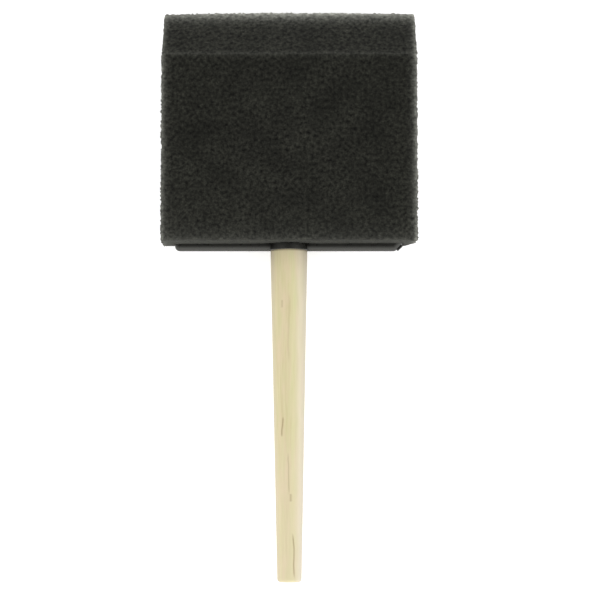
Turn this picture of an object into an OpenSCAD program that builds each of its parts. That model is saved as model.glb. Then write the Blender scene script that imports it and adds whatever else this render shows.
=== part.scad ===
// Foam sponge brush: a chisel-edged foam head on a moulded plastic core, with a turned wooden handle
// glued into the core's socket.
//
// Frame, in millimetres: X runs across the foam, +Y points from the handle to the chisel edge, and +Z is
// up. The brush lies on the flat back of its foam at z = 0, and the origin is below the middle of its
// whole length.

/* [Foam head] */
// Width of the foam block, across the brush
foam_w = 75; // [64:1:110]
// Length of the foam, from the face that the handle leaves to the chisel edge
foam_len = 70; // [64:1:90]
// Thickness of the foam block
foam_t = 21; // [18:0.5:28]
// Length of the two bevels that meet in the chisel edge
bevel_len = 14.5; // [8:0.5:18]
// Thickness left at the chisel edge
edge_t = 0.8; // [0.4:0.1:2]
// Foam left on each side of the core
foam_side_wall = 3.5; // [3:0.5:6]

/* [Handle] */
// Distance from the foam to the end of the handle
handle_reach = 100; // [70:1:160]
// Diameter at the shoulder, where the handle meets the core
handle_d = 11; // [10.5:0.1:11.4]
// Diameter at the end of the handle
handle_end_d = 7.2; // [5:0.1:10]
// Width of the eased edge round the end of the handle
handle_end_ease = 0.8; // [0.3:0.1:1.5]
// Diameter of the tenon inside the socket
tenon_d = 9; // [7:0.1:9.2]
// Length of the tenon
tenon_len = 30; // [20:1:34]

/* [Core] */
// Thickness of the bar along the foam's mouth
bar_t = 3; // [2.4:0.1:4]
// Height of the bar outside the foam
bar_out = 2.2; // [1.8:0.1:3]
// Height of the collar outside the foam, round the handle
collar_out = 2; // [1:0.1:2.2]
// Depth of the bar inside the foam
bar_in = 1.5; // [1:0.1:3]
// Length of the blade that stiffens the foam
blade_len = 44; // [40:1:46]
// Thickness of the blade
blade_t = 1.6; // [1.2:0.1:2]
// Height of the ribs and barbs on each face of the blade, which is also the thickness of the glue there
rib_h = 0.4; // [0.3:0.05:0.6]
// Outer diameter of the socket
socket_d = 11.4; // [11.4:0.1:12.5]
// Glue film between the tenon and the socket
film_t = 0.1; // [0.05:0.01:0.15]

/* [Hidden] */

$fn = 64;
past = 1; // how far a cutter reaches past the face that it opens

brush_len = foam_len + handle_reach;
mid_z = foam_t / 2;
edge_y = brush_len / 2;
mouth_y = edge_y - foam_len;
bar_y = mouth_y - bar_out;
collar_y = mouth_y - collar_out;
handle_end_y = -brush_len / 2;

bar_w = foam_w - 2 * foam_side_wall;
bar_r = bar_t / 2;
bar_cut = 1.5; // the corner of the bar that was cut off with the gate
bar_points = [
    [-bar_w / 2 + bar_r, mouth_y + bar_in],
    [-bar_w / 2 + bar_r, bar_y + bar_r],
    [bar_w / 2 - bar_r - bar_cut, bar_y + bar_r],
    [bar_w / 2 - bar_r, bar_y + bar_r + bar_cut],
    [bar_w / 2 - bar_r, mouth_y + bar_in],
];
blade_inset = 1;
blade_w = bar_w - 2 * blade_inset;
blade_corner_r = 8;
blade_top_y = mouth_y + blade_len;
blade_thin_len = 5;
bite = 0.5; // how far the blade reaches into the bar, and the cross rib into the socket
foot_y = mouth_y + bar_in - bite; // where the blade and its ribs start
pocket_t = blade_t + 2 * rib_h;
pocket_clear = 0.2;

bore_d = tenon_d + 2 * film_t;
glue_pool = 0.6; // glue between the end of the tenon and the bottom of the bore
bore_len = tenon_len + glue_pool;
socket_end_wall = 1.2;
dome_room = 2; // keeps the dome clear of the bore's square end
rim_ease = 0.15; // the eased rim at the socket's mouth
socket_dome_y = collar_y + bore_len + socket_end_wall - socket_d / 2 + dome_room;
tenon_ease = 1;

// The features on each half of the blade stand at shares of the span from the socket to the blade's edge.
span_start = socket_d / 2 + 0.6;
span = blade_w / 2 - span_start;
rib_shares = [0.14, 0.58, 0.86];
rib_w = 1.2;
rib_top_gap = 3;
rib_end_y = blade_top_y - blade_thin_len - rib_top_gap;
window_share = 0.36;
window_w = 0.28 * span;
window_len = 12;
window_r = 2;
window_ys = [mouth_y + 7, mouth_y + 24];
cross_rib_y = mouth_y + 21.5;
cross_rib_end = span_start + rib_shares[len(rib_shares) - 1] * span;
barb_share = 0.94;
barb_w = 2;
barb_len = 2;
barb_ys = [for (i = [0:5]) mouth_y + 5 + 5 * i];
glue_shares = [0.06, 0.72];
glue_widths = [0.075 * span, 0.16 * span];
glue_start_y = mouth_y + 4;
glue_end_y = blade_top_y - 9;
glue_rib_gap = 0.4;
glue_flat = 0.1; // the straight part across the round end of a stripe

// The gate is the sliver that is left where the plastic entered the mould.
gate_d = 0.7;
gate_len = 2;
gate_root = 0.1;

foam_colour = "#33342f";
plastic_colour = "#2a2a2a";
wood_colour = "#dfd0a4";
glue_colour = "#d9c48a";

// Extrudes an outline drawn in Y and Z across the brush.
module across(width) {
    translate([-width / 2, 0, 0]) rotate([90, 0, 90]) linear_extrude(width) children();
}

// Extrudes an outline drawn in X and Y through the brush's middle plane.
module through(thickness) {
    translate([0, 0, mid_z - thickness / 2]) linear_extrude(thickness) children();
}

// Stands a shape that is drawn along Z on the brush's axis, starting at y and pointing to the chisel edge.
module on_axis(y) {
    translate([0, y, mid_z]) rotate([-90, 0, 0]) children();
}

module both_sides() {
    children();
    mirror([1, 0, 0]) children();
}

module rounded_rectangle(width, length, r) {
    for (x = [-1, 1], y = [-1, 1]) {
        translate([x * (width / 2 - r), y * (length / 2 - r)]) circle(r);
    }
    square([width - 2 * r, length], center = true);
    square([width, length - 2 * r], center = true);
}

module socket_outside() {
    on_axis(collar_y) cylinder(d1 = socket_d - 2 * rim_ease, d2 = socket_d, h = rim_ease);
    on_axis(collar_y + rim_ease) cylinder(d = socket_d, h = socket_dome_y - collar_y - rim_ease);
    on_axis(socket_dome_y) sphere(d = socket_d);
}

module foam_profile() {
    polygon([
        [mouth_y, 0],
        [edge_y - bevel_len, 0],
        [edge_y, mid_z - edge_t / 2],
        [edge_y, mid_z + edge_t / 2],
        [edge_y - bevel_len, foam_t],
        [mouth_y, foam_t],
    ]);
}

// The slot that is cut into the foam for the core: a slit for the blade, a mouth for the bar, and a round
// hole for the socket.
module foam_pocket() {
    slit_len = blade_len + pocket_clear + past;
    through(pocket_t) translate([0, mouth_y - past + slit_len / 2])
        square([blade_w + 2 * pocket_clear, slit_len], center = true);
    through(bar_t) translate([0, mouth_y - past + (bar_in + past) / 2])
        square([bar_w, bar_in + past], center = true);
    socket_outside();
}

module foam_head() {
    color(foam_colour) difference() {
        across(foam_w) foam_profile();
        foam_pocket();
    }
}

// One straight length of the bar's round edge, between two of its points.
module bead(a, b) {
    run = b - a;
    translate([a.x, a.y, mid_z]) rotate([0, 0, atan2(run.y, run.x)]) rotate([0, 90, 0])
        cylinder(r = bar_r, h = norm(run));
}

// The bar closes the foam's mouth. Its edge is half round along the bottom and up both ends.
module bar() {
    for (i = [0:len(bar_points) - 2]) bead(bar_points[i], bar_points[i + 1]);
    for (i = [1:len(bar_points) - 2]) translate([bar_points[i].x, bar_points[i].y, mid_z]) sphere(bar_r);
    through(bar_t) polygon(bar_points);
}

module blade_outline() {
    shoulder_y = blade_top_y - blade_corner_r;
    inner_w = blade_w - 2 * blade_corner_r;
    for (side = [-1, 1]) {
        translate([side * inner_w / 2, shoulder_y]) circle(blade_corner_r);
    }
    translate([-blade_w / 2, foot_y]) square([blade_w, shoulder_y - foot_y]);
    translate([-inner_w / 2, foot_y]) square([inner_w, blade_top_y - foot_y]);
}

// Seen from the side, the blade thins to half its thickness over its last few millimetres.
module blade_side() {
    thin_y = blade_top_y - blade_thin_len;
    polygon([
        [mouth_y, mid_z - blade_t / 2],
        [thin_y, mid_z - blade_t / 2],
        [blade_top_y, mid_z - blade_t / 4],
        [blade_top_y, mid_z + blade_t / 4],
        [thin_y, mid_z + blade_t / 2],
        [mouth_y, mid_z + blade_t / 2],
    ]);
}

module window_outlines() {
    for (y = window_ys) {
        translate([span_start + window_share * span, y + window_len / 2])
            rounded_rectangle(window_w, window_len, window_r);
    }
}

module blade() {
    difference() {
        intersection() {
            across(blade_w) blade_side();
            through(blade_t) blade_outline();
        }
        both_sides() through(blade_t + 2 * past) window_outlines();
    }
}

module ribs() {
    cross_rib_start = socket_d / 2 - bite;
    through(pocket_t) {
        for (share = rib_shares) {
            translate([span_start + share * span - rib_w / 2, foot_y]) square([rib_w, rib_end_y - foot_y]);
        }
        translate([cross_rib_start, cross_rib_y - rib_w / 2])
            square([cross_rib_end - cross_rib_start, rib_w]);
    }
}

// Each barb is a wedge that slides into the foam and holds against being pulled out.
module barbs() {
    for (y = barb_ys) {
        translate([span_start + barb_share * span, 0, 0]) across(barb_w)
            polygon([[y, mid_z - pocket_t / 2], [y, mid_z + pocket_t / 2], [y + barb_len, mid_z]]);
    }
}

module gate() {
    corner = (bar_points[2] + bar_points[3]) / 2;
    translate([corner.x, corner.y, mid_z]) rotate([0, 0, 45])
        translate([-gate_len / 2, gate_root - bar_r - gate_d / 2, 0])
            rotate([0, 90, 0]) cylinder(d = gate_d, h = gate_len);
}

module core() {
    color(plastic_colour) difference() {
        union() {
            bar();
            blade();
            both_sides() {
                ribs();
                barbs();
            }
            socket_outside();
            gate();
        }
        on_axis(collar_y - past) cylinder(d = bore_d, h = bore_len + past);
    }
}

module handle() {
    color(wood_colour) {
        on_axis(handle_end_y) {
            cylinder(d1 = handle_end_d - 2 * handle_end_ease, d2 = handle_end_d, h = handle_end_ease);
            translate([0, 0, handle_end_ease])
                cylinder(d1 = handle_end_d, d2 = handle_d, h = handle_reach - collar_out - handle_end_ease);
        }
        on_axis(collar_y) {
            cylinder(d = tenon_d, h = tenon_len - tenon_ease);
            translate([0, 0, tenon_len - tenon_ease])
                cylinder(d1 = tenon_d, d2 = tenon_d - 2 * tenon_ease, h = tenon_ease);
        }
    }
}

// A sleeve of glue round the tenon, with the pool that gathers past its end.
module handle_glue() {
    color(glue_colour) on_axis(collar_y) difference() {
        cylinder(d = bore_d, h = bore_len);
        translate([0, 0, -past]) cylinder(d = tenon_d, h = tenon_len - tenon_ease + past);
        translate([0, 0, tenon_len - tenon_ease])
            cylinder(d1 = tenon_d, d2 = tenon_d - 2 * tenon_ease, h = tenon_ease);
    }
}

// The stripes of glue that hold the foam on one face of the blade. They stop short of the cross rib.
module foam_glue_stripes() {
    run_gap = rib_w / 2 + glue_rib_gap;
    runs = [[glue_start_y, cross_rib_y - run_gap], [cross_rib_y + run_gap, glue_end_y]];
    for (i = [0:len(glue_shares) - 1], run = runs) {
        width = glue_widths[i];
        length = run[1] - run[0];
        translate([span_start + glue_shares[i] * span, run[0] + length / 2])
            rounded_rectangle(width, length, (width - glue_flat) / 2);
    }
}

module front_foam_glue() {
    color(glue_colour) both_sides() translate([0, 0, mid_z + blade_t / 2])
        linear_extrude(rib_h) foam_glue_stripes();
}

module back_foam_glue() {
    color(glue_colour) both_sides() translate([0, 0, mid_z - blade_t / 2 - rib_h])
        linear_extrude(rib_h) foam_glue_stripes();
}

foam_head();
core();
handle();
handle_glue();
front_foam_glue();
back_foam_glue();
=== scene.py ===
"""The foam sponge brush, lying on the flat back of its foam, around its CAD frame.

The foam and the handle are meshes made here. The core and the glue are the CAD's own nodes.
"""

import math

import bmesh
import bpy
import numpy as np
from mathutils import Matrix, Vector, geometry, noise


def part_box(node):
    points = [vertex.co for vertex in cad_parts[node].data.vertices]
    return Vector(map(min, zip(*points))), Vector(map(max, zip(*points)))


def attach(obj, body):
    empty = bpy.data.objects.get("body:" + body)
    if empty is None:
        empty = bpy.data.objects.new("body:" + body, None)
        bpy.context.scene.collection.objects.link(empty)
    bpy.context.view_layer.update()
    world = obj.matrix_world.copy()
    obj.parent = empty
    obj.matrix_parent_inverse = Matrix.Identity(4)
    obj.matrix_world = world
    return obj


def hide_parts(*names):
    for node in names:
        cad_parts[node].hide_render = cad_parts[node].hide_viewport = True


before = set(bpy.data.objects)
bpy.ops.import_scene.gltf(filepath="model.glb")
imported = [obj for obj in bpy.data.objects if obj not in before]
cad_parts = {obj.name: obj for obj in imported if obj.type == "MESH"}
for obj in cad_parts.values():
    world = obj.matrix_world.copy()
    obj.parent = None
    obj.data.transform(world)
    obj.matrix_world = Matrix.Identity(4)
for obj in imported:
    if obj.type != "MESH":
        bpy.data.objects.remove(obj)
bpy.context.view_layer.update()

MM = 0.001  # sizes below are in millimetres, and Blender's unit is the metre

foam_lo, foam_hi = (np.array(corner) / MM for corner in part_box("foam_head"))
core_lo, core_hi = (np.array(corner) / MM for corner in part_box("core"))
handle_lo, handle_hi = (np.array(corner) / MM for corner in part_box("handle"))

MOUTH_Y = foam_lo[1]
EDGE_Y = foam_hi[1]
MID_Z = (foam_lo[2] + foam_hi[2]) / 2
HALF_W = foam_hi[0]
HALF_T = (foam_hi[2] - foam_lo[2]) / 2

# The foam's form, as in the CAD
BEVEL = 14.5
EDGE_HALF_T = 0.4
SLOT_HALF_W = round(core_hi[0], 3)
SLOT_HALF_T = 1.5
COLLAR_R = 5.7

# The foam as it really looks: its mesh, its rough skin, and how it is off its plain form
FOAM_STEP = 0.45
EDGE_RADIUS = 0.38
LUMPS = ((0.9, 0.0, 0.06), (3.1, 4.0, 0.05), (14.0, 9.0, 0.08))  # size across, place in the noise, height
FUZZ_MEAN = 0.2
FUZZ_MAX = 0.68
FUZZ_SINK = 0.195  # how far the skin between the fuzz lies below the plain form
FACE_FUZZ = 0.22  # how long the fuzz is on the flat faces, against the cut edges
FLOOR_GAP = 0.02
FRONT_LIFT = 0.3  # how far the underside's front edge is rounded up
BACK_LIFT = 0.9  # the same at the back, which was cut a little shorter
CORNER_DROP = 0.35  # how far the front's two corners hang
RIGHT_CORNER_LIFT = 0.85  # how far the underside slopes up to the right corner
LIP_LIFT = 0.14  # how far the slot's lips curl in at its right end, and out at its left end
LIFT_REACH = 5.0  # how far up from the mouth all of these reach
TIP_BOW = 0.45  # how far the chisel edge falls away at its ends, more of it at the left
RIGHT_BULGE = 0.27
MOUTH_BULGE = 0.2
SEED = 7


# ---------------------------------------------------------------- meshes

def new_object(name, mesh):
    piece = bpy.data.objects.new(name, mesh)
    bpy.context.collection.objects.link(piece)
    return piece


class MeshParts:
    """Collects patches of vertices, faces and UVs, which are then welded into one closed mesh."""

    def __init__(self):
        self.points, self.uvs, self.faces = [], [], []
        self.count = 0

    def add(self, points, uvs, faces, flip=False):
        for face in faces:
            corners = [self.count + int(i) for i in face]
            self.faces.append(corners[::-1] if flip else corners)
        self.points.append(points)
        self.uvs.append(uvs)
        self.count += len(points)

    def grid(self, points, uvs, flip=False):
        """Adds a patch whose points are an array of rows and columns."""
        rows, cols = points.shape[:2]
        start = np.arange(rows * cols).reshape(rows, cols)
        faces = np.stack([start[:-1, :-1], start[:-1, 1:], start[1:, 1:], start[1:, :-1]], axis=-1)
        self.add(points.reshape(-1, 3), uvs.reshape(-1, 2), faces.reshape(-1, 4), flip)

    def build(self, name):
        points = np.concatenate(self.points) * MM
        uvs = np.concatenate(self.uvs)
        mesh = bpy.data.meshes.new(name)
        mesh.from_pydata(points.tolist(), [], self.faces)
        layer = mesh.uv_layers.new(name="OFBake")
        corners = np.empty(len(mesh.loops), dtype=np.int32)
        mesh.loops.foreach_get("vertex_index", corners)
        layer.data.foreach_set("uv", uvs[corners].astype(np.float32).ravel())
        weld(mesh)
        return mesh


def weld(mesh):
    bm = bmesh.new()
    bm.from_mesh(mesh)
    bmesh.ops.remove_doubles(bm, verts=bm.verts, dist=1e-7)
    bmesh.ops.dissolve_degenerate(bm, edges=bm.edges, dist=1e-8)
    bmesh.ops.recalc_face_normals(bm, faces=bm.faces)
    bm.to_mesh(mesh)
    bm.free()
    for polygon in mesh.polygons:
        polygon.use_smooth = True


def spaced(lo, hi, step, lo_edge=(), hi_edge=()):
    """Even steps from lo to hi, with the given extra distances from each end."""
    lo_points = [lo + d for d in (0, *lo_edge)]
    hi_points = [hi - d for d in (0, *hi_edge)][::-1]
    inner_lo, inner_hi = lo_points[-1], hi_points[0]
    count = max(1, round((inner_hi - inner_lo) / step))
    inner = np.linspace(inner_lo, inner_hi, count + 1)[1:-1]
    return np.concatenate([lo_points, inner, hi_points])


# ---------------------------------------------------------------- the foam

CLOSE = (0.1, 0.24, 0.42, 0.68)  # extra lines beside an edge, so that it rounds well


def foam_half_thickness(y):
    """Half of the foam's thickness at y, which falls along the bevels."""
    along = np.clip((y - (EDGE_Y - BEVEL)) / BEVEL, 0, 1)
    return HALF_T + (EDGE_HALF_T - HALF_T) * along


def foam_profile():
    """The front, the chisel edge and the back as one line of (y, z) points."""
    face_y = spaced(MOUTH_Y, EDGE_Y - BEVEL, FOAM_STEP, CLOSE, (0.25,))
    slope = math.hypot(BEVEL, HALF_T - EDGE_HALF_T) / BEVEL
    bevel_y = spaced(EDGE_Y - BEVEL, EDGE_Y, FOAM_STEP / slope, (0.2,), (0.08, 0.2, 0.36))[1:]
    y = np.concatenate([face_y, bevel_y])
    half = foam_half_thickness(y)
    tip_z = np.linspace(EDGE_HALF_T, -EDGE_HALF_T, 5)[1:-1]
    profile_y = np.concatenate([y, np.full(len(tip_z), EDGE_Y), y[::-1]])
    profile_z = np.concatenate([half, tip_z, -half[::-1]])
    return np.stack([profile_y, profile_z], axis=1)


def slot_half_t(x):
    """Half of the slot's opening, which the collar and the socket push apart."""
    collar = COLLAR_R + 0.06
    tangent_x = 4.6  # where the foam leaves the collar
    ramp_end = 9.5  # where the slot is back at its own thickness
    tangent_z = math.sqrt(collar ** 2 - tangent_x ** 2)
    ax = np.abs(x)
    round_part = np.sqrt(np.maximum(collar ** 2 - ax ** 2, 0))
    t = np.clip((ax - tangent_x) / (ramp_end - tangent_x), 0, 1)
    ramp = SLOT_HALF_T + (tangent_z - SLOT_HALF_T) * (1 - t) ** 1.6
    return np.where(ax < tangent_x, round_part, np.maximum(ramp, SLOT_HALF_T))


# The UV square holds UV_SIZE millimetres of foam each way. The front and back fill its left half. Beside them
# stand the two sides, one above the other, then the mouth, and then the slot's walls with its closed end.
UV_SIZE = 152.0
UV_GAP = 1.0
SIDES_U = 77.5
SECOND_SIDE_V = 75.0
MOUTH_U = 99.0
WALLS_U = 100.0
WALLS_V = 80.0
WALLS_UV_SIZE = (18.0, 66.0)
SLOT_END_U = 119.0

SLOT_ROOM = 0.05  # how far the slot reaches past the bar's ends
MOUTH_OUT = (0.15, 0.4)  # extra lines on the mouth beside the slot
SLOT_DEPTHS = (0, 0.4, 1.2, 2.5, 6, 14, 24, 34, 40, 43, 45)
BAR_DEPTH = 1.4
BLADE_HALF_T = 1.25  # half of the slot's thickness past the bar
SOCKET_DEPTH = 31.0  # where the socket starts to close
SOCKET_DOME = 9.0


def foam_mesh():
    """The foam as a plain block with a slot, made of patches that weld together, and then shaped."""
    parts = MeshParts()
    profile = foam_profile()
    edge_xs = spaced(SLOT_HALF_W + SLOT_ROOM, HALF_W, FOAM_STEP, (), CLOSE)
    slot_reach = SLOT_HALF_W + SLOT_ROOM
    slot_xs = np.linspace(-slot_reach, slot_reach, round(2 * SLOT_HALF_W / FOAM_STEP) + 1)
    xs = np.concatenate([-edge_xs[::-1][:-1], slot_xs, edge_xs[1:]])
    slot_zs = np.linspace(-SLOT_HALF_T, SLOT_HALF_T, 7)
    edge_zs = spaced(SLOT_HALF_T, HALF_T, FOAM_STEP, MOUTH_OUT, CLOSE)
    zs = np.concatenate([-edge_zs[::-1][:-1], slot_zs, edge_zs[1:]])
    add_faces(parts, xs, profile)
    add_mouth(parts, xs, zs, slot_zs)
    add_slot(parts, xs[in_slot(xs)], len(slot_zs))
    add_sides(parts, zs, profile)
    mesh = parts.build("foam")
    shape_foam(mesh)
    return mesh


def in_slot(x):
    return np.abs(x) <= SLOT_HALF_W + SLOT_ROOM + 0.01


def add_faces(parts, xs, profile):
    """The front, the chisel edge and the back."""
    steps = np.linalg.norm(np.diff(profile, axis=0), axis=1)
    along = np.concatenate([[0], np.cumsum(steps)])
    x, s = np.meshgrid(xs, along)
    y = np.repeat(profile[:, :1], len(xs), axis=1)
    z = np.repeat(profile[:, 1:], len(xs), axis=1) + MID_Z
    uv = np.stack([(x + HALF_W + UV_GAP) / UV_SIZE, (s + UV_GAP) / UV_SIZE], axis=-1)
    parts.grid(np.stack([x, y, z], axis=-1), uv)


def add_mouth(parts, xs, zs, slot_zs):
    """The face that the handle leaves: in front of the slot, behind it, and beyond its two ends."""
    front_zs = zs[zs >= SLOT_HALF_T - 1e-6]
    back_zs = zs[zs <= -SLOT_HALF_T + 1e-6]
    ends_xs = (xs[xs >= SLOT_HALF_W], xs[xs <= -SLOT_HALF_W])
    patches = [(xs, front_zs), (xs, back_zs)] + [(end_xs, slot_zs) for end_xs in ends_xs]
    for patch_xs, patch_zs in patches:
        x, z = np.meshgrid(patch_xs, patch_zs)
        opening = slot_half_t(x)
        share = np.clip((np.abs(z) - SLOT_HALF_T) / (HALF_T - SLOT_HALF_T), 0, 1)
        pushed = np.sign(z) * (opening + share * (HALF_T - opening))
        moved_z = np.where(in_slot(x) & (np.abs(z) >= SLOT_HALF_T - 1e-6), pushed, z)
        points = np.stack([x, np.full_like(x, MOUTH_Y), moved_z + MID_Z], axis=-1)
        uv = np.stack([(z + HALF_T + MOUTH_U + UV_GAP) / UV_SIZE, (x + HALF_W + UV_GAP) / UV_SIZE], axis=-1)
        parts.grid(points, uv)


def slot_ring(xs, depth, across):
    """The slot's outline at a depth, once round, with its two ends divided into as many steps as across."""
    y = MOUTH_Y + depth
    half = slot_half_t(xs)
    if depth > SOCKET_DEPTH:
        fade = np.clip((depth - SOCKET_DEPTH) / SOCKET_DOME, 0, 1)
        half = half * (1 - fade) + SLOT_HALF_T * fade
    if depth > BAR_DEPTH:
        half = np.where(half <= SLOT_HALF_T + 1e-6, BLADE_HALF_T, half)
    ends = np.linspace(1, -1, across)
    ring = [(x, y, MID_Z + h) for x, h in zip(xs, half)]
    ring += [(xs[-1], y, MID_Z + e * half[-1]) for e in ends[1:-1]]
    ring += [(x, y, MID_Z - h) for x, h in zip(xs[::-1], half[::-1])]
    ring += [(xs[0], y, MID_Z + e * half[0]) for e in ends[::-1][1:-1]]
    return ring + [ring[0]]


def add_slot(parts, xs, across):
    """The slot's walls, as rings from the mouth inwards, and its closed end."""
    rings = np.array([slot_ring(xs, depth, across) for depth in SLOT_DEPTHS])
    depths = np.array(SLOT_DEPTHS) / SLOT_DEPTHS[-1]
    around, depth = np.meshgrid(np.linspace(0, 1, rings.shape[1]), depths)
    u_size, v_size = WALLS_UV_SIZE
    u = (UV_GAP + WALLS_U + depth * u_size) / UV_SIZE
    parts.grid(rings, np.stack([u, (UV_GAP + WALLS_V + around * v_size) / UV_SIZE], axis=-1))

    count = len(xs)
    second = count + across - 2
    front = rings[-1][:count]
    back = rings[-1][second: second + count][::-1]
    end = np.stack([front * (1 - t) + back * t for t in np.linspace(0, 1, across)])
    x, z = np.meshgrid(np.linspace(0, 1, count), np.linspace(0, 1, across))
    u = (UV_GAP + SLOT_END_U + z) / UV_SIZE
    parts.grid(end, np.stack([u, (UV_GAP + WALLS_V + x * v_size) / UV_SIZE], axis=-1))


def add_sides(parts, zs, profile):
    outline = np.concatenate([profile, np.stack([np.full(len(zs) - 2, MOUTH_Y), zs[1:-1]], axis=1)])
    places, faces = fill_outline(outline, FOAM_STEP)
    y, z = places[:, 0], places[:, 1]
    for side in (-1, 1):
        points = np.stack([np.full(len(y), side * HALF_W), y, z + MID_Z], axis=-1)
        v = y - MOUTH_Y + UV_GAP + (0 if side < 0 else SECOND_SIDE_V)
        uv = np.stack([(z + HALF_T + SIDES_U) / UV_SIZE, v / UV_SIZE], axis=-1)
        parts.add(points, uv, faces, flip=side > 0)


def fill_outline(outline, step):
    """Fills a closed (y, z) outline with triangles whose points stand about a step apart."""
    lo, hi = outline.min(axis=0), outline.max(axis=0)
    rows = np.arange(lo[0] + step, hi[0] - step / 2, step)
    inner = []
    for i, y in enumerate(rows):
        half = foam_half_thickness(y) - step * 0.6
        if half < step / 2:
            continue
        shift = step / 2 if i % 2 else 0
        inner += [(y, z) for z in np.arange(-half + shift, half, step)]
    points = [Vector(p) for p in outline] + [Vector(p) for p in inner]
    edges = [(i, (i + 1) % len(outline)) for i in range(len(outline))]
    out_points, _, faces, *_ = geometry.delaunay_2d_cdt(points, edges, [], 1, 1e-6)
    return np.array([tuple(p) for p in out_points]), faces


def closest_inside(points, corners):
    """The closest point to each (y, z) point on a convex outline, or the point itself if it is inside."""
    best = np.full(len(points), np.inf)
    closest = points.copy()
    inside = np.ones(len(points), dtype=bool)
    for a, b in zip(corners, np.roll(corners, -1, axis=0)):
        edge = b - a
        t = np.clip(((points - a) @ edge) / (edge @ edge), 0, 1)
        candidate = a + t[:, None] * edge
        distance = np.linalg.norm(points - candidate, axis=1)
        outward = np.array([edge[1], -edge[0]])
        inside &= (points - a) @ outward <= 1e-9
        better = distance < best
        best[better] = distance[better]
        closest[better] = candidate[better]
    closest[inside] = points[inside]
    return closest


def round_edges(points):
    """Rounds the foam's cut edges: each point moves to within a radius of a form that much smaller."""
    r = EDGE_RADIUS
    angle = math.atan2(HALF_T - EDGE_HALF_T, BEVEL)
    shoulder = EDGE_Y - BEVEL - r * math.tan(angle / 2)
    tip_half = EDGE_HALF_T - r * 0.9
    corners = np.array([
        [MOUTH_Y + r, -HALF_T + r], [shoulder, -HALF_T + r], [EDGE_Y - r, -tip_half],
        [EDGE_Y - r, tip_half], [shoulder, HALF_T - r], [MOUTH_Y + r, HALF_T - r],
    ])
    yz = points[:, 1:] - [0, MID_Z]
    core = np.empty_like(points)
    core[:, 0] = np.clip(points[:, 0], -HALF_W + r, HALF_W - r)
    core[:, 1:] = closest_inside(yz, corners) + [0, MID_Z]
    offset = points - core
    length = np.linalg.norm(offset, axis=1)
    outer = length > r * 0.98
    rounded = points.copy()
    rounded[outer] = core[outer] + offset[outer] * (r / length[outer])[:, None]
    return rounded


def noise_at(points, scale, offset=0.0):
    """Smooth noise from -1 to 1 whose lumps are about scale millimetres across."""
    shift = Vector((offset, offset * 1.7, offset * 2.3))
    return np.array([noise.noise(Vector(p) / scale + shift) for p in points])


def skin_height(points, normals):
    """How far the rough skin stands out: lumps of three sizes, and fuzz that is longest on the cut edges."""
    rng = np.random.default_rng(SEED)
    lumps = sum(noise_at(points, size, place) * height for size, place, height in LUMPS)
    fuzz = np.minimum(rng.exponential(FUZZ_MEAN, len(points)), FUZZ_MAX) - FUZZ_SINK
    beside_bevel = np.clip((points[:, 1] - (EDGE_Y - BEVEL)) / 6, 0, 1)
    side_fuzz = np.abs(normals[:, 0]) * (1 - 0.65 * beside_bevel)
    cut_edge = np.clip(np.maximum(side_fuzz, 1.7 * (normals[:, 1] - 0.6)), 0, 1)
    return lumps + fuzz * (FACE_FUZZ + (1 - FACE_FUZZ) * cut_edge)


def slacken(points):
    """Takes the points off the plain form: the mouth's edges and lips, the sides and the chisel edge."""
    x, y, z = points.T
    near_mouth = np.clip(1 - (y - MOUTH_Y) / LIFT_REACH, 0, 1) ** 2
    across = np.clip((z - MID_Z) / HALF_T, -1, 1)  # -1 at the back and 1 at the front
    at_corner = np.clip((np.abs(x) - 32) / 5, 0, 1)
    front_lift = FRONT_LIFT * (1 - at_corner) - CORNER_DROP * at_corner
    lift = np.where(across > 0, front_lift * across ** 8, BACK_LIFT * across ** 4)
    lift += RIGHT_CORNER_LIFT * np.clip((x - 34.3) / 3, 0, 1) * np.clip(1 - across, 0, 1)
    along_bar = np.clip((SLOT_HALF_W + 0.5 - np.abs(x)) / 1.5, 0, 1)
    lift += LIP_LIFT * x / SLOT_HALF_W * along_bar * (1 - across ** 2) ** 2
    y = y + near_mouth * lift

    at_side = np.clip((np.abs(x) - 34) / 3, 0, 1)
    x = x + MOUTH_BULGE * np.sign(x) * at_side * near_mouth * (1 - across ** 2)
    x = x + RIGHT_BULGE * np.clip((x - 33) / 4, 0, 1)
    up = np.clip((y - MOUTH_Y) / (EDGE_Y - MOUTH_Y), 0, 1)
    share = x / HALF_W
    y = y - TIP_BOW * share ** 2 * (1 - 0.3 * share) * up ** 2
    return np.stack([x, y, np.maximum(z, FLOOR_GAP)], axis=-1)


def shape_foam(mesh):
    """Gives the plain block its rounded edges, its rough skin and its slack form."""
    count = len(mesh.vertices)
    flat = np.empty(count * 3)
    mesh.vertices.foreach_get("co", flat)
    points = flat.reshape(-1, 3) / MM
    x, y, z = points.T
    outside = (np.abs(x) > HALF_W - 1e-3) | (y < MOUTH_Y + 1e-3) | (y > EDGE_Y - 1e-3) \
        | (np.abs(z - MID_Z) > foam_half_thickness(y) - 1e-3)
    points[outside] = round_edges(points[outside])

    mesh.vertices.foreach_set("co", (points * MM).ravel())
    mesh.update()
    normals = np.empty(count * 3, dtype=np.float32)
    mesh.vertices.foreach_get("normal", normals)
    normals = normals.reshape(-1, 3)
    points += normals * (skin_height(points, normals) * outside)[:, None]
    mesh.vertices.foreach_set("co", (slacken(points) * MM).ravel())
    mesh.update()


# ---------------------------------------------------------------- the handle

# Lines down the wood: x and y of the lower end, x and y of the upper end, half-width, strength
WOOD_FLECKS = [
    (-2.0, -42.5, -1.9, -36.5, 0.22, 0.75),
    (0.1, -59.5, -0.2, -47.0, 0.2, 0.4),
    (0.6, -61.5, 0.5, -59.0, 0.35, 0.45),
    (1.9, -84.0, 1.1, -70.5, 0.2, 0.75),
    (0.0, -21.0, -0.1, 0.0, 0.25, 0.2),
    (-2.2, -4.5, -2.2, -2.0, 0.25, 0.35),
]
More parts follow.
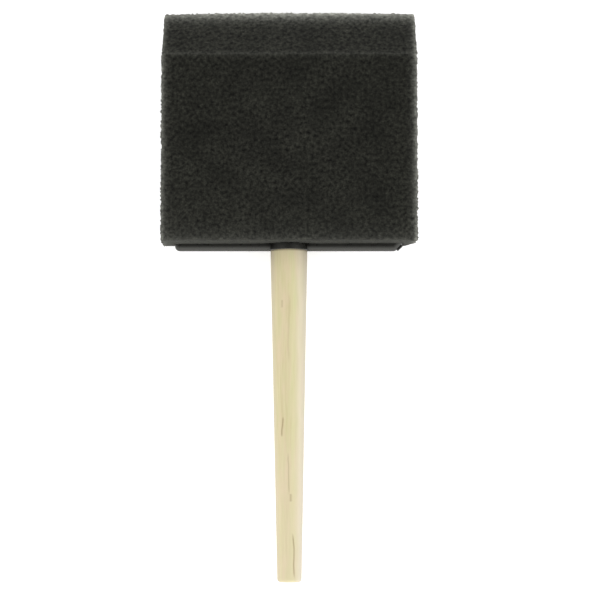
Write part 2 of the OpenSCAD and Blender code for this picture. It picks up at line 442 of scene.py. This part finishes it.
# The same for bands of colour, with the colour at the end
WOOD_BANDS = [
    (1.2, -100.0, 1.3, 22.0, 0.8, 0.4, (0.65, 0.65, 0.36)),
    (3.2, -110.0, 3.3, 35.0, 0.9, 0.5, (0.80, 0.71, 0.53)),
    (0.0, -130.0, 0.0, -40.0, 6.0, 0.35, (0.75, 0.65, 0.46)),
]
END_R = 3.6
END_EASE = 0.9
SHOULDER_R = round(handle_hi[0], 3)
TENON_R = 4.5
TENON_LEN = 30.0
COLLAR_Y = handle_hi[1] - TENON_LEN
HANDLE_LEAN = 0.19  # how far the turned stick is off straight at its end


def handle_mesh():
    """A lathe-turned stick whose taper, eased end and tenon come from one line of (y, radius) points."""
    end_y = handle_lo[1]
    flat = [(end_y, r) for r in np.linspace(0, END_R - END_EASE, 5)[1:-1]]
    ease = [(end_y + END_EASE * (1 - math.cos(a)), END_R - END_EASE * (1 - math.sin(a)))
            for a in np.linspace(0, math.pi / 2, 7)]
    taper_y = np.linspace(end_y + END_EASE, COLLAR_Y, 160)[1:]
    taper = [(y, END_R + (SHOULDER_R - END_R) * (y - end_y) / (COLLAR_Y - end_y)) for y in taper_y]
    tenon = [(COLLAR_Y, TENON_R)] + [(y, TENON_R) for y in np.linspace(COLLAR_Y, handle_hi[1] - 1, 10)[1:]]
    tenon += [(handle_hi[1], TENON_R - 1), (handle_hi[1], 1.5)]
    line = np.array(flat + ease + taper + tenon)
    sides = 96
    angles = np.linspace(0, 2 * math.pi, sides + 1)
    angles[-1] = 0
    y = np.repeat(line[:, :1], sides + 1, axis=1)
    r = np.repeat(line[:, 1:], sides + 1, axis=1)
    lean = HANDLE_LEAN * np.clip((COLLAR_Y - y) / (COLLAR_Y - end_y), 0, 1)
    points = np.stack([r * np.cos(angles) + lean, y, r * np.sin(angles) + MID_Z], axis=-1)
    steps = np.linalg.norm(np.diff(line, axis=0), axis=1)
    along = np.concatenate([[0], np.cumsum(steps)])
    around, length = np.meshgrid(np.linspace(0, 1, sides + 1), along / along[-1])
    parts = MeshParts()
    parts.grid(points, np.stack([0.01 + around * 0.6, 0.01 + length * 0.97], axis=-1))
    fan = [(0, 1 + i, 1 + (i + 1) % sides) for i in range(sides)]
    for index, end, cap_v in ((0, end_y, 0.1), (-1, handle_hi[1], 0.3)):
        cap = np.concatenate([[[0, end, MID_Z]], points[index][:-1]])
        cap_uv = np.stack([0.8 + cap[:, 0] * 0.02, cap_v + (cap[:, 2] - MID_Z) * 0.02], axis=-1)
        parts.add(cap, cap_uv, fan)
    return parts.build("handle_wood")


# ---------------------------------------------------------------- materials

class Nodes:
    """A short way to write a node material."""

    def __init__(self, name):
        self.material = bpy.data.materials.new(name)
        self.material.use_nodes = True
        self.tree = self.material.node_tree
        self.tree.nodes.clear()
        self.output = self.tree.nodes.new("ShaderNodeOutputMaterial")
        self.shader = self.tree.nodes.new("ShaderNodeBsdfPrincipled")
        self.tree.links.new(self.shader.outputs[0], self.output.inputs[0])

    def add(self, kind, values=None, **settings):
        node = self.tree.nodes.new(kind)
        for key, value in settings.items():
            setattr(node, key, value)
        for key, value in (values or {}).items():
            if isinstance(value, bpy.types.NodeSocket):
                self.tree.links.new(value, node.inputs[key])
            else:
                node.inputs[key].default_value = value
        return node

    def set(self, **values):
        for key, value in values.items():
            socket = self.shader.inputs[key.replace("_", " ")]
            if isinstance(value, bpy.types.NodeSocket):
                self.tree.links.new(value, socket)
            else:
                socket.default_value = value

    def position(self, scale=(1, 1, 1)):
        """The point's place in millimetres, stretched by scale."""
        place = self.add("ShaderNodeTexCoord").outputs["Object"]
        factors = [s / MM for s in scale]
        return self.add("ShaderNodeVectorMath", {0: place, 1: factors}, operation="MULTIPLY").outputs[0]

    def noise(self, place, scale, detail=2.0, roughness=0.5):
        return self.add("ShaderNodeTexNoise", {"Vector": place, "Scale": scale, "Detail": detail,
                                               "Roughness": roughness}).outputs[0]

    def ramp(self, value, stops):
        node = self.add("ShaderNodeValToRGB", {0: value})
        elements = node.color_ramp.elements
        while len(elements) < len(stops):
            elements.new(0.5)
        for element, (place, colour) in zip(elements, stops):
            element.position = place
            element.color = (*colour, 1) if len(colour) == 3 else colour
        return node.outputs[0]

    def mix(self, factor, a, b, blend="MIX"):
        node = self.add("ShaderNodeMix", data_type="RGBA", blend_type=blend)
        for index, value in ((0, factor), (6, a), (7, b)):
            if isinstance(value, bpy.types.NodeSocket):
                self.tree.links.new(value, node.inputs[index])
            else:
                node.inputs[index].default_value = value if index == 0 else (*value, 1)
        return node.outputs[2]

    def scaled(self, vector, factor):
        return self.add("ShaderNodeVectorMath", {0: vector, "Scale": factor}, operation="SCALE").outputs[0]

    def maths(self, operation, a, b=0.0, c=0.0, clamp=False):
        values = {0: a, 1: b, 2: c}
        return self.add("ShaderNodeMath", values, operation=operation, use_clamp=clamp).outputs[0]

    def map(self, value, low, high, to_low=0.0, to_high=1.0):
        return self.add("ShaderNodeMapRange", {0: value, 1: low, 2: high, 3: to_low, 4: to_high}).outputs[0]

    def bump(self, height, distance, strength=1.0):
        values = {"Height": height, "Distance": distance, "Strength": strength}
        return self.add("ShaderNodeBump", values).outputs[0]

    def normal(self):
        """The x, y and z of the surface's direction."""
        vector = self.add("ShaderNodeTexCoord").outputs["Normal"]
        return self.add("ShaderNodeSeparateXYZ", {0: vector}).outputs


def painted_edge_light(m, x, y):
    """Painted light: how much paler the foam's colour is made where light soaks into its cut edges, by the
    distance from each edge.
    """
    def rim(distance, amount, reach):
        falloff = m.maths("EXPONENT", m.maths("DIVIDE", distance, -reach))
        return m.maths("MULTIPLY", falloff, amount)

    from_side = m.maths("SUBTRACT", float(HALF_W), m.maths("ABSOLUTE", x))
    from_tip = m.maths("SUBTRACT", float(EDGE_Y), y)
    from_mouth = m.maths("SUBTRACT", y, float(MOUTH_Y))
    from_ridge = m.maths("ABSOLUTE", m.maths("SUBTRACT", from_tip, BEVEL))
    _, facing_up, facing_front = m.normal()
    facing = m.maths("ABSOLUTE", facing_front)

    # Painted light on the side edges, less of it on the side faces
    sides = m.maths("MULTIPLY", rim(from_side, 0.148, 0.63), m.map(facing, 0.2, 0.9, 0.3, 1.0))
    # Painted light: towards the mouth the front is painted paler slowly, most of all at the left, and then
    # quickly
    slow = m.maths("MULTIPLY", rim(from_mouth, 0.0045, 12.0), m.map(x, -HALF_W, -22.0, 2.3, 1.0))
    mouth = m.maths("ADD", slow, rim(from_mouth, 0.027, 1.9))
    mouth = m.maths("MULTIPLY", mouth, m.map(facing, 0.2, 0.9, 0.0, 1.0))
    # Painted light also on the chisel edge's tip
    glow = m.maths("ADD", m.maths("ADD", sides, rim(from_tip, 0.38, 1.2)), mouth)
    # Painted light on the underside near its two sides
    underneath = m.maths("MULTIPLY", facing_up, -1.0, clamp=True)
    glow = m.maths("MULTIPLY_ADD", underneath, rim(from_side, 0.024, 3.0), glow)
    # Painted highlight along the ridge where the bevel meets the face
    glow = m.maths("ADD", glow, rim(from_ridge, 0.025, 0.5))
    # Painted light: the bevels are painted a little paler than the faces
    return m.maths("ADD", glow, on_bevel(m, y, 0.0018))


def on_bevel(m, y, amount):
    """The amount on the bevels, and nothing on the foam's flat faces."""
    return m.map(m.maths("SUBTRACT", float(EDGE_Y), y), BEVEL - 0.3, BEVEL + 0.1, amount, 0.0)


def foam_material():
    """Dark open-cell foam. Light soaks into its cut edges, and this is painted into its colour, so they are
    paler than its faces.
    """
    m = Nodes("dark_foam")
    place = m.position()
    x, y, _ = m.add("ShaderNodeSeparateXYZ", {0: place}).outputs
    grain = m.noise(place, 0.95, 2.0, 0.55)
    fine = m.noise(place, 2.1, 2.0, 0.6)
    patches = m.noise(place, 0.1, 2.0)
    cells = m.add("ShaderNodeTexVoronoi", {"Vector": place, "Scale": 1.7}, feature="DISTANCE_TO_EDGE")
    struts = m.map(cells.outputs["Distance"], 0.02, 0.2, 1.0, 0.0)

    tone = m.maths("MULTIPLY", m.map(grain, 0.25, 0.75, -0.05, 2.05), m.map(fine, 0.3, 0.7, 0.65, 1.35))
    soft_tone = m.maths("MULTIPLY_ADD", tone, 0.55, 0.45)
    tone = m.maths("MULTIPLY_ADD", m.maths("SUBTRACT", tone, 1.0), on_bevel(m, y, 0.35), tone)
    tone = m.maths("MAXIMUM", m.maths("MULTIPLY", tone, m.map(patches, 0.3, 0.7, 0.68, 1.32)), 0.0)
    tone = m.maths("MULTIPLY_ADD", struts, 0.22, m.maths("MULTIPLY", tone, 0.93))
    dark = m.scaled((0.0129, 0.0131, 0.0103), tone)
    # The pale part is painted light, added to the foam's dark colour
    pale = m.scaled((1.0, 1.01, 0.9), m.maths("MULTIPLY", painted_edge_light(m, x, y), soft_tone))
    m.set(Base_Color=m.add("ShaderNodeVectorMath", {0: dark, 1: pale}, operation="ADD").outputs[0])
    m.set(Roughness=0.95, Specular_IOR_Level=0.1, Sheen_Weight=0.13, Sheen_Roughness=0.5,
          Sheen_Tint=(0.6, 0.61, 0.55, 1))
    height = m.maths("MULTIPLY_ADD", struts, 0.6, m.maths("MULTIPLY", fine, 0.8))
    m.set(Normal=m.bump(height, 0.1 * MM, 0.6))
    return m.material


def wood_material():
    """Pale bare wood: straight grain, soft patches of colour, a light and a green band, and dark flecks, with
    painted shade on its sides and next to the collar.
    """
    m = Nodes("pale_turned_wood")
    x, y, _ = m.add("ShaderNodeSeparateXYZ", {0: m.position()}).outputs
    wander = m.maths("MULTIPLY", m.maths("SUBTRACT", m.noise(m.position((0, 0.09, 0)), 1.0, 2.0), 0.5), 1.4)

    def along(low_x, low_y, high_x, high_y, width):
        """One over a line that runs down the wood between two points, and falling to nothing beside it."""
        share = m.map(y, low_y, high_y)
        line = m.maths("ADD", m.maths("MULTIPLY_ADD", share, high_x - low_x, low_x), wander)
        sideways = m.maths("DIVIDE", m.maths("SUBTRACT", x, line), width)
        thin = m.maths("EXPONENT", m.maths("MULTIPLY", m.maths("MULTIPLY", sideways, sideways), -1.0))
        inside = m.maths("MULTIPLY", share, m.maths("SUBTRACT", 1.0, share))
        return m.maths("MULTIPLY", thin, m.map(inside, 0.0, 0.12))

    fine = m.noise(m.position((1, 0.03, 1)), 2.4, 4.0, 0.65)
    warm = m.noise(m.position((1, 0.22, 1)), 0.5, 2.0)
    green = m.noise(m.position((1, 0.17, 1.3)), 0.62, 2.0)
    colour = m.ramp(fine, [
        (0.25, (0.575, 0.495, 0.285)), (0.5, (0.64, 0.565, 0.335)), (0.75, (0.69, 0.625, 0.39)),
    ])
    colour = m.mix(m.map(warm, 0.4, 0.65, 0.0, 0.6), colour, (0.70, 0.57, 0.395))
    colour = m.mix(m.map(green, 0.45, 0.7, 0.0, 0.5), colour, (0.60, 0.58, 0.31))
    for *line, strength, tint in WOOD_BANDS:
        colour = m.mix(m.maths("MULTIPLY", along(*line), strength), colour, tint)
    for *line, strength in WOOD_FLECKS:
        colour = m.mix(m.maths("MULTIPLY", along(*line), strength), colour, (0.33, 0.24, 0.13))
    facing_right, _, facing_front = m.normal()
    # Painted shade: where the wood turns away from the front it is painted greyer and darker
    turned = m.map(m.maths("ABSOLUTE", facing_front), 0.1, 0.7, 0.65, 0.0)
    colour = m.mix(turned, colour, (0.50, 0.45, 0.37))
    # Painted shade: the side facing right is painted greyer
    colour = m.mix(m.map(facing_right, 0.3, 0.9, 0.0, 0.38), colour, (0.52, 0.49, 0.44))
    # Painted shade: next to the collar the wood is painted darker, most of all at its sides, where the foam
    # shades it
    shade_by_collar = m.maths("EXPONENT", m.maths("DIVIDE", m.maths("SUBTRACT", y, float(COLLAR_Y)), 3.5))
    side = m.maths("POWER", m.maths("DIVIDE", m.maths("ABSOLUTE", x), float(SHOULDER_R)), 4.0)
    shade_by_collar = m.maths("MULTIPLY", shade_by_collar, m.maths("MULTIPLY_ADD", side, 0.75, 0.2), clamp=True)
    colour = m.mix(shade_by_collar, colour, (0.37, 0.32, 0.22))
    m.set(Base_Color=colour, Roughness=0.62, Specular_IOR_Level=0.35)
    m.set(Normal=m.bump(fine, 0.03 * MM, 0.4))
    return m.material


def plastic_material():
    """Black satin plastic, with painted shade that makes the collar a little darker."""
    m = Nodes("black_moulded_plastic")
    cloudy = m.noise(m.position(), 0.5, 2.0)
    black = m.ramp(cloudy, [(0.3, (0.010, 0.010, 0.009)), (0.7, (0.015, 0.015, 0.013))])
    x = m.add("ShaderNodeSeparateXYZ", {0: m.position()}).outputs[0]
    # Painted shade: the collar, which the foam's lips shade, is painted darker
    collar_shade = m.map(m.maths("ABSOLUTE", x), 5.8, 7.0, 1.0, 0.0)
    m.set(Base_Color=m.mix(collar_shade, black, (0.003, 0.003, 0.002)))
    m.set(Roughness=m.map(cloudy, 0.3, 0.7, 0.25, 0.33), Specular_Tint=(1.0, 1.0, 0.93, 1))
    return m.material


def glue_material():
    m = Nodes("cured_glue")
    place = m.position()
    lumps = m.noise(place, 0.9, 2.0)
    m.set(Base_Color=m.ramp(lumps, [(0.3, (0.62, 0.46, 0.22)), (0.7, (0.76, 0.62, 0.36))]), Roughness=0.3)
    m.set(Normal=m.bump(lumps, 0.1 * MM, 0.5))
    return m.material


def floor_material():
    m = Nodes("pale_floor")
    m.set(Base_Color=(0.88, 0.88, 0.88, 1), Roughness=0.9)
    m.set(Emission_Color=(1, 1, 1, 1), Emission_Strength=0.5)
    return m.material


def give(piece, material):
    piece.data.materials.clear()
    piece.data.materials.append(material)


# ---------------------------------------------------------------- camera and light

def make_camera():
    """A long lens above the brush, tipped a little towards the handle, so that the foam's mouth shows."""
    camera = bpy.data.cameras.new("camera")
    camera.lens = 117.04
    camera.sensor_width = 36
    camera.clip_start = 0.01
    seat = new_object("camera", camera)
    seat.location = (3.3 * MM, -50.8 * MM, 589 * MM)
    target = Vector((3.3 * MM, -2.64 * MM, 21 * MM))
    seat.rotation_euler = (target - seat.location).to_track_quat("-Z", "Y").to_euler()
    bpy.context.scene.camera = seat


TOP_LIGHT = 0.2
WALL_LIGHT = 1.2
NEAR_LIGHT = 1.1  # added from the handle's side
RIGHT_LIGHT = 0.1


def make_light():
    """A white tent: its walls are brighter than its top, and the one on the handle's side is brightest."""
    world = bpy.data.worlds.new("tent")
    world.use_nodes = True
    tree = world.node_tree
    background = tree.nodes["Background"]
    background.inputs["Color"].default_value = (1, 1, 1, 1)

    def maths(operation, *values):
        node = tree.nodes.new("ShaderNodeMath")
        node.operation = operation
        for socket, value in zip(node.inputs, values):
            if isinstance(value, bpy.types.NodeSocket):
                tree.links.new(value, socket)
            else:
                socket.default_value = value
        return node.outputs[0]

    split = tree.nodes.new("ShaderNodeSeparateXYZ")
    tree.links.new(tree.nodes.new("ShaderNodeTexCoord").outputs["Generated"], split.inputs[0])
    x, y, z = split.outputs
    level = maths("SQRT", maths("MAXIMUM", maths("SUBTRACT", 1.0, maths("MULTIPLY", z, z)), 0.0))
    strength = maths("MULTIPLY_ADD", level, WALL_LIGHT - TOP_LIGHT, TOP_LIGHT)
    near = maths("MAXIMUM", maths("MULTIPLY", y, -1.0), 0.0)
    strength = maths("MULTIPLY_ADD", near, NEAR_LIGHT, strength)
    strength = maths("MULTIPLY_ADD", x, RIGHT_LIGHT, strength)
    tree.links.new(strength, background.inputs["Strength"])
    bpy.context.scene.world = world


def make_floor():
    mesh = bpy.data.meshes.new("floor")
    reach = 3.0
    corners = [(-reach, -reach, 0), (reach, -reach, 0), (reach, reach, 0), (-reach, reach, 0)]
    mesh.from_pydata(corners, [], [(0, 1, 2, 3)])
    floor = new_object("floor", mesh)
    give(floor, floor_material())


make_camera()
make_light()
make_floor()
bpy.context.scene.view_settings.view_transform = "Standard"

foam = new_object("foam_block", foam_mesh())
give(foam, foam_material())
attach(foam, "root")
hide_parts("foam_head")

stick = new_object("handle_stick", handle_mesh())
give(stick, wood_material())
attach(stick, "root")
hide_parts("handle")

give(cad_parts["core"], plastic_material())
for node in ("handle_glue", "front_foam_glue", "back_foam_glue"):
    give(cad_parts[node], glue_material())
